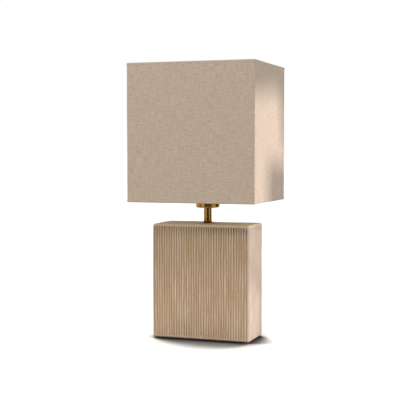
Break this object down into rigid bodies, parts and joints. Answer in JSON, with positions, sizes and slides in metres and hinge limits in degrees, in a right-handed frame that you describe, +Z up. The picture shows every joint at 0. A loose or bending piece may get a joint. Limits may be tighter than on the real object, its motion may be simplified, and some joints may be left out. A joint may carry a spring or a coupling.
{
  "type": "table lamp",
  "caption": "Column table lamp: ribbed rectangular stoneware base, short brass neck with screw lampholder and bulb, and a straight rectangular linen box shade.",
  "frame": {"origin": "on the table, under the axis of the neck, at the centre of the base and of the shade", "axes": "+Z up along the neck; +X along the wide faces of base and shade; the ribbed front looks along -Y and the cord inlet is at the back, towards +Y"},
  "size_m": [0.21, 0.171, 0.44],
  "materials": {
    "stoneware": "matt, combed ribs on the wide faces",
    "felt": "felt",
    "dark_plastic": "matt",
    "antique_brass": "antique, polished and lacquered",
    "steel": "zinc plated",
    "black_rubber": "matt",
    "steatite": "unglazed white ceramic",
    "bright_brass": "plain",
    "frame_paint": "white powder coat",
    "linen": "natural slubby linen",
    "lining": "satin white styrene sheet",
    "cap_aluminium": "bright",
    "black_glass": "gloss",
    "opal_glass": "opal"
  },
  "bodies": {
    "base": {"base_body": "stoneware", "foot_pads": "felt", "cord_bush": "dark_plastic", "threaded_stem": "steel", "lock_nut": "steel", "steel_washer": "steel", "rubber_washer": "black_rubber", "neck_flange": "antique_brass", "neck_tube": "antique_brass", "holder_cup": "antique_brass", "earth_screw": "bright_brass", "terminal_block": "steatite", "terminal_screws": "bright_brass", "centre_contact": "bright_brass", "screw_sleeve": "bright_brass", "holder_liner": "steatite", "holder_shell": "antique_brass"},
    "ring_seat": {"lower_shade_ring": "antique_brass"},
    "shade": {"carrier_ring": "frame_paint", "carrier_arms": "frame_paint", "bottom_wire": "frame_paint", "top_wire": "frame_paint", "shade_linen": "linen", "shade_panel_front": "lining", "shade_panel_back": "lining", "shade_panel_left": "lining", "shade_panel_right": "lining"},
    "ring_lock": {"upper_shade_ring": "antique_brass"},
    "bulb_contact": {"bulb_tip": "bright_brass"},
    "bulb": {"bulb_insulator": "black_glass", "bulb_cap": "cap_aluminium", "bulb_globe": "opal_glass"}
  },
  "joints": [
    {"name": "shade_swivel", "type": "hinge", "parent": "base", "child": "ring_seat", "pos_m": [0, 0, 0.2425], "axis": [0, 0, 1], "continuous": true},
    {"name": "shade_lift", "type": "slide", "parent": "ring_seat", "child": "shade", "axis": [0, 0, 1], "range_m": [0, 0.01751]},
    {"name": "ring_turn", "type": "hinge", "parent": "shade", "child": "ring_lock", "pos_m": [0, 0, 0.244], "axis": [0, 0, 1], "range_deg": [0, 2520]},
    {"name": "bulb_lift", "type": "slide", "parent": "base", "child": "bulb_contact", "axis": [0, 0, 1], "range_m": [0, 0.02178]},
    {"name": "bulb_turn", "type": "hinge", "parent": "bulb_contact", "child": "bulb", "pos_m": [0, 0, 0.25], "axis": [0, 0, 1], "range_deg": [0, 2160]}
  ],
  "couplings": [
    {"joint": "shade_lift", "follows": "ring_turn", "m_per_rad": 0.00039789},
    {"joint": "bulb_lift", "follows": "bulb_turn", "m_per_rad": 0.00057751}
  ]
}
